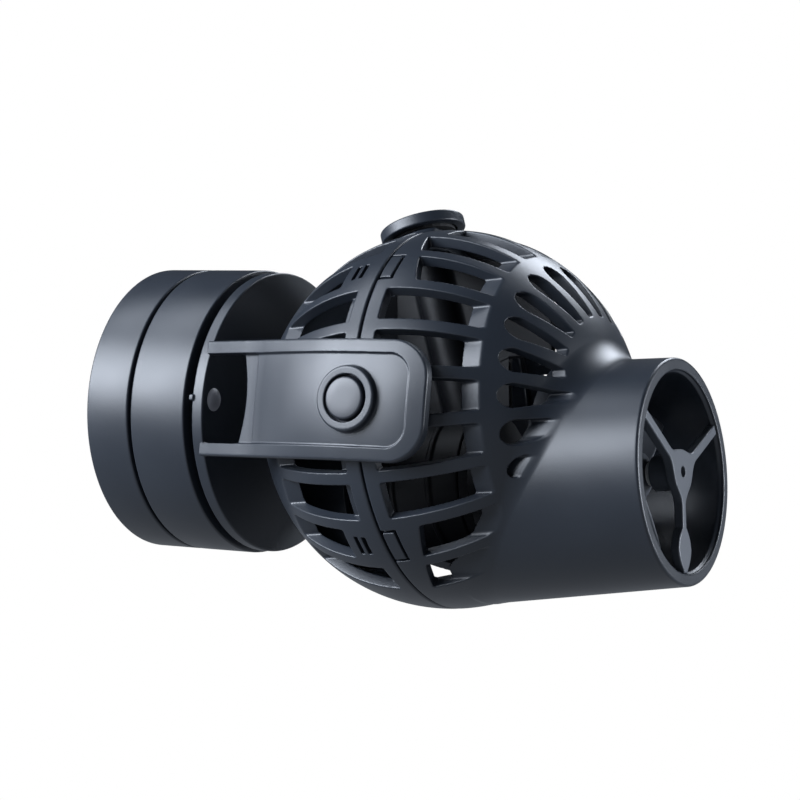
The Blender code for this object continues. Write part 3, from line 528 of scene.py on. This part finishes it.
def arms_and_disc(x, y, z):
    y = np.abs(y)
    full = np.broadcast_shapes(np.shape(x), np.shape(y))
    crown = 1.0 * smooth01((x + 30.0) / 20.0) * (z / 10.0) ** 2
    face = plan(np.broadcast_to(x, full), np.broadcast_to(y, full)) + crown
    slab = both(face, -(face + ARM_WALL), 0.3)
    d = both(slab, bar(x, z, 15.7, 11.2, 7.0, 0.5), 0.4)
    # recessed panel on the outer face
    panel = bar(x, z, 12.2, PANEL_HALF, 4.0, 0.3)
    d = cut(d, both(-(face + 0.6), panel, 0.35), 0.22)
    # ledge, and the window between it and the disc
    in_panel = np.abs(z) - PANEL_HALF
    d = cut(d, both(both(-(face + 1.3), in_panel, 0.3), x + 25.5, 0.3), 0.2)
    window_end = -29.9 + 1.3 * np.cos(np.clip(z / PANEL_HALF, -1, 1) * PI / 2)
    d = cut(d, both(x - window_end, in_panel, 0.5), 0.2)
    d = both(d, -39.95 - x, 0.1)
    # raised ring round the pivot, with a seat and a through hole
    q = length(x, z)
    d = join(d, drum(q - 6.05, y, 37.7, 40.5, 0.1, 0.5), 0.3)
    d = cut(d, both(q - 4.88, y - 39.35, 0.05), 0.1)
    d = cut(d, q - 4.42, 0.16)
    # disc on the mount axis, with a centre hole and a recess on its +X face
    rho = length(y, z)
    disc = both(rho - DISC_R, np.abs(x - DISC_X) - DISC_HALF, 0.3)
    disc = cut(disc, rho - 3.05, 0.15)
    disc = cut(disc, both(rho - 4.8, -(x + 41.2), 0.15), 0.15)
    return join(both(d, 24.9 - y, 0.2), disc, 0.3)


def fork_field(x, y, z):
    d = arms_and_disc(x, y, z)
    # the index pin's hole and the nub by the rim are on the near side only
    hole = length(y - INDEX_PIN_Y, z) - 1.5
    d = cut(d, np.maximum(hole, np.abs(x - DISC_X) - 3.0), 0.1)
    edge = 0.3
    nub = box(np.abs(x + 42.25) - 0.55 + edge, np.abs(y + 27.95) - 1.0 + edge,
              np.abs(z) - 0.6 + edge) - edge
    return join(d, nub, 0.25)


# radius, x
INDEX_PIN = [(0, 18.3), (0.9, 18.22), (1.6, 18.0), (2.1, 17.7),
             (2.3, 17.5), (1.2, 17.5), (1.2, 15.1), (0, 15.1)]

put("fork", skin_mesh(fork_field, (-43.4, -41.4, -29.5), (17.4, 41.4, 29.5), 0.25, thin=0.40),
    FORK, "fork", BODY, "fork_bracket")
put("index_pin_head", turned_mesh(INDEX_PIN, corner=0.2, segments=48),
    Matrix.Translation((0, INDEX_PIN_Y * MM, 0)), "fork", KNOB, "index_pin")


# -------------------------------------------------------------- ball's cage
def polar(y, z):
    """Radius round X, nearest slot's index, angle off that slot, angle up from -Y."""
    rho = length(y, z) + 1e-6
    angle = np.arctan2(z, -y)
    index = np.round(angle / SLOT_PITCH)
    return rho, index, angle - index * SLOT_PITCH, angle


def slot_row(rho, index, offset, inner, end):
    """Radial slots outside the inner radius; the three at the bottom stay solid."""
    side = rho * np.sin(SLOT_PITCH / 2 - np.abs(offset))
    slot = both(both(RIB / 2 - side, inner - rho, 0.45), end, 0.45)
    return np.where((index <= -5) & (index >= -7), 5.0, slot)


def bosses(x, y, z):
    """The pivot bosses on both sides, and their bores."""
    q = length(x, z)
    a = np.abs(y)
    return drum(q - 6.3, a, 33.2, 36.6, 0.3, 0.3), np.maximum(q - 3.35, 30.0 - a)


def cap_frame(x, y, z):
    """Distance from the cap's leaning axis, and height along it."""
    c, s = math.cos(CAP_LEAN), math.sin(CAP_LEAN)
    x, z = x - CAP_FOOT_X, z - CAP_FOOT_Z
    return length(x * c + z * s, y), -x * s + z * c


def rear_field(x, y, z):
    p = length(x, y, z)
    d = np.maximum(p - BALL_R, BALL_INNER_R - p)
    rho, index, offset, _ = polar(y, z)
    latch = (np.abs(index) == 3) | (np.abs(index) == 9)
    d = cut(d, slot_row(rho, index, offset, 29.4, x + np.where(latch, 8.4, BAND)), 0.22)
    # two slits across each latch slot
    across = np.abs(rho * np.sin(offset))
    for slit_x in (-4.2, -5.9):
        d = hard_cut(d, all_of(np.abs(x - slit_x) - 0.42, across - 2.1,
                               np.where(latch, -1.0, 1.0), 33.6 - rho))
    # inner lip of the joint
    d = join(d, all_of(rho - 35.0, 33.4 - rho, -5.2 - x), 0.2)
    boss, bore = bosses(x, y, z)
    d = join(d, boss, 0.4)
    # the cap's boss and bore
    cap_q, cap_z = cap_frame(x, y, z)
    d = join(d, drum(cap_q - 7.6, cap_z, 33.2, 36.8, 0.3, 0.4), 0.8)
    d = cut(d, np.maximum(cap_q - 4.2, 25 - cap_z), 0.15)
    d = cut(d, bore, 0.15)
    # motor socket
    m = length(y, z - DUCT_Z)
    d = join(d, all_of(m - 15.5, 13.9 - m, x + 15.5, p - 35.8), 0.4)
    return both(d, x + SEAM_GAP, 0.42)


def petals(rho, offset):
    """Tapered slots between the nozzle and the outer row, round at both ends."""
    inner, inner_r, outer, outer_r = 17.6, 0.85, 25.35, 2.25
    span = outer - inner
    taper = (inner_r - outer_r) / span
    slant = math.sqrt(1 - taper * taper)
    out = rho * np.cos(offset)
    px, py = np.abs(rho * np.sin(offset)), out - inner
    d = slant * px + taper * py - inner_r
    along = -taper * px + slant * py
    d = np.where(along > slant * span, length(px, py - span) - outer_r, d)
    d = np.where(along < 0, length(px, py) - inner_r, d)
    return both(d, 17.4 - out, 0.3)


def front_field(x, y, z):
    p = length(x, y, z)
    rho, index, offset, angle = polar(y, z)
    # ball and nozzle, with a fillet that grows towards the top
    q = length(y, z - DUCT_Z)
    cone = (q - (NOZZLE_BASE_R - (NOZZLE_BASE_R - NOZZLE_TIP_R) * (x - NOZZLE_BASE_X)
                 / (NOZZLE_TIP_X - NOZZLE_BASE_X))) * 0.9989    # corrects for the slope
    nozzle = drum(cone, x, NOZZLE_BASE_X, NOZZLE_TIP_X, 0.5, 0.55)
    ball = p - BALL_R
    blend = 0.8 + 3.4 * smooth01((z + 26.0) / 30.0)
    outer = (np.maximum(blend, np.minimum(ball, nozzle))
             - length(np.maximum(blend - ball, 0), np.maximum(blend - nozzle, 0)))
    # the ball's hollow ends at the nozzle, whose bore flares at the tip
    tube = np.maximum(cone, 27.0 - x)
    bore = np.maximum(q - 18.5 - 0.45 * smooth01((x - 47.8) / 0.8), 25.5 - x)
    d = cut(outer, np.minimum(np.maximum(p - BALL_INNER_R, -tube), bore), 0.22)
    # slots, kept off the nozzle; the upper and lower ones start further from the seam
    set_back = (np.abs(index) >= 3) & (np.abs(index) <= 9)
    lift = np.minimum(np.abs(angle), PI - np.abs(angle))
    up = np.degrees(lift)
    stepped = np.where(up > 68.0, 6.7, np.clip(8.0 - 0.165 * (up - 40.0), 3.9, 8.4))
    slot_start = np.where(set_back, stepped, BAND)
    row = slot_row(rho, index, offset, 29.8, (slot_start - x) * 0.99)
    cuts = np.minimum(row, np.maximum(petals(rho, offset), 15.0 - x))
    cuts = cut(cuts, np.maximum(cone, NOZZLE_BASE_X - x) - 0.35, 0.6)
    d = cut(d, cuts, 0.22)
    boss, boss_bore = bosses(x, y, z)
    d = join(d, boss, 0.4)
    d = cut(d, boss_bore, 0.15)
    # four engraved rectangle outlines, above and below the pivots' level
    arc = (lift - math.radians(45.5)) * BALL_R
    outline = box(np.abs(x - 1.60) - 1.50, np.abs(arc) - 3.55)
    d = cut(d, np.maximum(np.abs(outline) - 0.27, (BALL_R - 0.9) - p), 0.12)
    return both(d, SEAM_GAP - x, 0.42)


put("cage_rear", skin_mesh(rear_field, (-37.6, -37.6, -37.6), (0.4, 37.6, 37.6), 0.26,
                           mirror_y=True, thin=0.38),
    BALL, "ball", CAGE, "rear_cage")
put("cage_front", skin_mesh(front_field, (-0.4, -37.6, -37.8), (49.4, 37.6, 37.6), 0.26,
                            mirror_y=True, thin=0.39),
    BALL, "ball", CAGE, "front_cage")

# pivots, button to journal: radius, distance from the ball's centre
PIVOT_PIN = [(0, 40.92), (2.0, 40.90), (3.92, 40.80), (3.92, 39.05), (4.80, 39.05),
             (4.80, 37.35), (3.05, 37.35), (3.05, 32.9), (4.6, 32.9), (4.6, 31.6), (0, 31.6)]
for axis, side in (("-Y", "near"), ("+Y", "far")):
    put("pivot_" + side, turned_mesh(PIVOT_PIN, corner=0.45, segments=96, axis=axis),
        BALL, "ball", PIN, "pivot_pin_" + side)


# ------------------------------------------------------- cap and its cable
def cap_field(x, y, z):
    q = length(x, y)
    # a slightly domed disc, its rim reaching down, on a hollow neck
    d = drum(q - 8.5, z, 37.75, 40.20 - 0.0025 * q * q, 0.3, 0.38)
    d = cut(d, both(q - 6.7, z - 38.45, 0.1), 0.15)
    d = join(d, all_of(q - 3.9, 33.2 - z, z - 39.0), 0.4)
    d = hard_cut(d, np.maximum(q - 2.2, z - 37.4))
    # cable way on the far side: round the bend, then out over the ball
    over = np.maximum(length(length(y, z) - CABLE_LINE, x) - CABLE_WAY_R, 2.4 - y)
    v, w = y - CABLE_BEND, z - (CABLE_LINE - CABLE_BEND)
    bend = all_of(length(length(v, w) - CABLE_BEND, x) - CABLE_WAY_R, v - 0.1, -w - 0.1)
    return cut(d, np.minimum(over, bend), 0.15)


def cable_path():
    """Up the neck, round the bend, then over the ball towards +Y and -X, in the cap's frame."""
    bend_z = CABLE_LINE - CABLE_BEND
    path = [(0, 0, 1.4), (0, 0, 18.0), (0, 0, bend_z)]
    for i in range(1, 12):
        a = math.radians(90 * i / 12)
        path.append((0, CABLE_BEND * (1 - math.cos(a)), bend_z + CABLE_BEND * math.sin(a)))
    start = math.atan2(CABLE_BEND, CABLE_LINE)
    for i in range(41):
        t = i / 40
        a, radius = start + (math.radians(42) - start) * t, CABLE_LINE + 0.8 * t
        path.append((-6.0 * t * t, radius * math.sin(a), radius * math.cos(a)))
    return path


def cable_mesh():
    curve = bpy.data.curves.new("cable_line", "CURVE")
    curve.dimensions = "3D"
    curve.bevel_depth = CABLE_R * MM
    curve.bevel_resolution = 6
    curve.use_fill_caps = True
    path = cable_path()
    spline = curve.splines.new("POLY")
    spline.points.add(len(path) - 1)
    for point, (x, y, z) in zip(spline.points, path):
        point.co = (x * MM, y * MM, z * MM, 1.0)
    return smooth_solid(bake(add_object("tmp", curve)), 1e-6)


put("gland_cap_top", skin_mesh(cap_field, (-8.9, -8.9, 32.8), (8.9, 8.9, 41.2), 0.16),
    CAP, "ball", CAGE, "gland_cap")
put("cable_lead", cable_mesh(), CAP, "ball", PVC, "cable")


# ---------------------------------------------- motor, bracket, propeller
def can_field(x, y, z):
    """The motor's can, the tower that carries the cable to the cap, and its web (ball frame)."""
    q = length(y, z - DUCT_Z)
    d = drum(q - 13.6, x, -20.6, 8.2, 1.6, 0.3)
    # two shallow ribs run round the can
    for rib_x in (-6.0, 2.0):
        d = join(d, both(q - 14.0, np.abs(x - rib_x) - 0.55, 0.3), 0.3)
    # the web's lower edge steps up towards the nozzle
    foot = np.where(x < 8.0, -0.5, np.where(x < 13.2, 1.3, 11.0))
    web = all_of(-11.8 - x, x - 22.6, foot - z, length(x, z) - 32.0)
    d = join(d, both(web, np.abs(y) - 0.8, 0.25), 0.4)
    cap_q, cap_z = cap_frame(x, y, z)
    d = join(d, np.maximum(both(cap_q - 4.1, cap_z - 32.6, 0.35), -cap_z - 1.5), 1.0)
    d = hard_cut(d, all_of(q - 12.1, -18.8 - x, x - 9.0))
    return cut(d, np.maximum(cap_q - 2.2, 0.8 - cap_z), 0.15)


# arms of the bracket: degrees from +Z towards +Y, half width, fillet at the hub
BRACKET_ARMS = ((60.0, 0.98, 2.6), (-60.0, 0.98, 2.6), (180.0, 0.85, 2.2))


def bracket_field(x, y, z):
    """The flat three-armed bracket; its lower arm carries a leaf-shaped pad (duct frame)."""
    r = length(y, z) + 1e-6
    star = r - 4.2
    for degrees, half_width, fillet in BRACKET_ARMS:
        c, s = math.cos(math.radians(degrees)), math.sin(math.radians(degrees))
        u, v = y * s + z * c, np.abs(y * c - z * s)
        arm = all_of(v - half_width, -u, u - 19.0)
        if degrees == 180.0:
            t = (u - 14.3) / 3.9
            half_leaf = 3.0 * np.sqrt(np.maximum(1 - t * t, 0)) * (1 - 0.12 * np.abs(t))
            arm = join(arm, np.maximum(v - half_leaf, np.abs(t) * 3.9 - 3.85) * 0.7, 0.9)
        star = join(star, arm, fillet)
    d = both(np.maximum(star, r - 18.75), np.abs(x - 47.7) - 0.9, 0.32)
    # hub behind the star, with a blind bore and a small through hole
    d = join(d, both(r - 3.35, np.abs(x - 45.0) - 2.1, 0.3), 0.4)
    d = hard_cut(d, np.maximum(r - 2.35, x - 47.0))
    return cut(d, r - 1.0, 0.22)


# the propeller's hub: x, radius
HUB_X = (5.9, 24.0, 30.0, 38.0, 40.6, 41.6)
HUB_R = (3.0, 3.4, 4.6, 4.7, 4.0, 2.4)
BLADE_X = 36.2
BLADE_ROOT_R, BLADE_TIP_R = 3.6, 17.4           # where the taper and twist start and end
BLADE_ROOT_CHORD, BLADE_TIP_CHORD = 8.5, 10.5
BLADE_ROOT_TWIST, BLADE_TIP_TWIST = math.radians(35), math.radians(60)
BLADE_THICK = 1.3
BLADE_TURN = math.radians(38.0)


def blade(x, r, angle, blade_angle):
    """A twisted blade, thinner towards its tip."""
    off = (angle - blade_angle + PI) % (2 * PI) - PI
    t = np.clip((r - BLADE_ROOT_R) / (BLADE_TIP_R - BLADE_ROOT_R), 0, 1)
    chord = BLADE_ROOT_CHORD + (BLADE_TIP_CHORD - BLADE_ROOT_CHORD) * t
    twist = BLADE_ROOT_TWIST + (BLADE_TIP_TWIST - BLADE_ROOT_TWIST) * t
    arc = r * off
    x = x - BLADE_X
    a = x * np.cos(twist) + arc * np.sin(twist)
    b = -x * np.sin(twist) + arc * np.cos(twist)
    thick = BLADE_THICK * (1 - 0.3 * t)
    d = both(np.abs(a) - chord / 2, np.abs(b) - thick / 2, 0.4)
    return np.where(np.abs(off) > 1.2, 5.0, d)


def propeller_field(x, y, z):
    r = length(y, z) + 1e-6
    angle = np.arctan2(y, z)
    hub_r = np.interp(np.clip(x, HUB_X[0], HUB_X[-1]), HUB_X, HUB_R).astype(np.float32)
    d = drum(r - hub_r, x, 6.0, 41.5, 0.3, 0.4)
    for i in range(4):
        v = blade(x, r, angle, i * PI / 2 + BLADE_TURN)
        d = join(d, drum(v, r, 3.0, 17.35, 0.3, 0.6) if False else
                 both(both(v, 3.0 - r, 0.3), r - 17.35, 0.6), 1.0)
    return np.maximum(d, 1.2 - r)


put("motor_can_skin", skin_mesh(can_field, (-21.2, -14.5, -27.8), (23.4, 14.5, 35.0), 0.3,
                                mirror_y=True, thin=0.5),
    BALL, "ball", CAN_PAINTED_SHADE, "motor_can")
put("outlet_bracket", skin_mesh(bracket_field, (42.6, -19.1, -19.1), (49.0, 19.1, 19.1), 0.18,
                                thin=0.5),
    DUCT, "ball", VANE, "shaft_bracket")
put("propeller_skin", skin_mesh(propeller_field, (5.4, -17.8, -17.8), (42.0, 17.8, 17.8), 0.3,
                                thin=0.5),
    DUCT, "rotor", PROPELLER, "propeller")

# ------------------------------------------------------------------ camera
CAMERA_TURN, CAMERA_RISE, CAMERA_ROLL = 0.50970, -0.066237, 0.078554    # radians
CAMERA_DISTANCE = 448.71676                     # mm from the pivot
LENS = 102.9591                                 # mm, on a 36 mm sensor
# where the pivot lies in view: right, down and forward
PIVOT_IN_VIEW = Vector((0.0227231007, 0.00846816843, 1))


def add_camera():
    """Adds the camera and returns the direction from the pivot back to it."""
    turn_c, turn_s = math.cos(CAMERA_TURN), math.sin(CAMERA_TURN)
    rise_c, rise_s = math.cos(CAMERA_RISE), math.sin(CAMERA_RISE)
    roll_c, roll_s = math.cos(CAMERA_ROLL), math.sin(CAMERA_ROLL)
    back = Vector((turn_s * rise_c, -turn_c * rise_c, rise_s))
    right = Vector((turn_c, turn_s, 0))
    view = Matrix((right, (-back).cross(right), -back))
    view = Matrix(((roll_c, -roll_s, 0), (roll_s, roll_c, 0), (0, 0, 1))) @ view
    aim = PIVOT_IN_VIEW.normalized()
    view = Vector((0, 0, 1)).rotation_difference(aim).to_matrix() @ view

    data = bpy.data.cameras.new("camera")
    data.sensor_width = 36.0
    data.lens = LENS
    data.clip_start = 0.01
    camera = add_object("camera", data)
    place = Matrix((view[0], -view[1], -view[2])).transposed().to_4x4()
    place.translation = PIVOT + back * (CAMERA_DISTANCE * MM)
    camera.matrix_world = place
    bpy.context.scene.camera = camera
    return back


back = add_camera()

# ------------------------------------------------------------------ lights
TINT = (0.83, 0.895, 1.0)
LIGHT_DISTANCE = 0.60       # metres from the pivot


def softbox(name, height, turn, power, size=0.30):
    """A square softbox: degrees above the horizon and round from the camera's side."""
    azimuth = math.atan2(back.y, back.x) + math.radians(turn)
    h = math.radians(height)
    toward = Vector((math.cos(h) * math.cos(azimuth), math.cos(h) * math.sin(azimuth),
                     math.sin(h)))
    data = bpy.data.lights.new(name, "AREA")
    data.energy = power
    data.color = TINT
    data.shape = "RECTANGLE"
    data.size = data.size_y = size
    light = add_object(name, data)
    place = PIVOT + toward * LIGHT_DISTANCE
    light.location = place
    light.rotation_euler = (place - PIVOT).to_track_quat("Z", "Y").to_euler()
    light.visible_camera = False


softbox("key_left", height=18.0, turn=283.0, power=3.6)
softbox("key_front_left", height=26.0, turn=311.0, power=2.7)
softbox("low_left", height=8.0, turn=298.0, power=2.4)
softbox("low_far_left", height=8.0, turn=270.0, power=0.6)
softbox("low_right", height=8.0, turn=90.0, power=4.2)
softbox("back_right", height=47.0, turn=147.0, power=2.1, size=0.26)
softbox("top_left", height=50.0, turn=268.0, power=0.95, size=0.24)


# --------------------------------------------------------- world and floor
def white_to_camera(tree, seen, lit, strength, output):
    """Full white for camera rays (seen), a dim tint for all other rays (lit)."""
    for node, color, level in ((seen, (1, 1, 1), 1.0), (lit, TINT, strength)):
        node.inputs["Color"].default_value = (*color, 1)
        node.inputs["Strength"].default_value = level
    rays = tree.nodes.new("ShaderNodeLightPath")
    mix = tree.nodes.new("ShaderNodeMixShader")
    tree.links.new(rays.outputs["Is Camera Ray"], mix.inputs["Fac"])
    tree.links.new(lit.outputs[0], mix.inputs[1])
    tree.links.new(seen.outputs[0], mix.inputs[2])
    tree.links.new(mix.outputs["Shader"], tree.nodes[output].inputs["Surface"])


world = bpy.data.worlds.new("studio")
bpy.context.scene.world = world
world.use_nodes = True
tree = world.node_tree
white_to_camera(tree, seen=tree.nodes.new("ShaderNodeBackground"),
                lit=tree.nodes["Background"], strength=0.03, output="World Output")

bpy.ops.mesh.primitive_plane_add(size=8.0, location=(0, 0, -0.0395))
floor = bpy.context.object
floor.name = "floor"
floor_white = bpy.data.materials.new("floor_white")
floor_white.use_nodes = True
tree = floor_white.node_tree
white_to_camera(tree, seen=tree.nodes.new("ShaderNodeEmission"),
                lit=tree.nodes.new("ShaderNodeEmission"), strength=0.38,
                output="Material Output")
floor.data.materials.append(floor_white)

bpy.context.scene.view_settings.view_transform = "Standard"
bpy.context.scene.view_settings.look = "None"
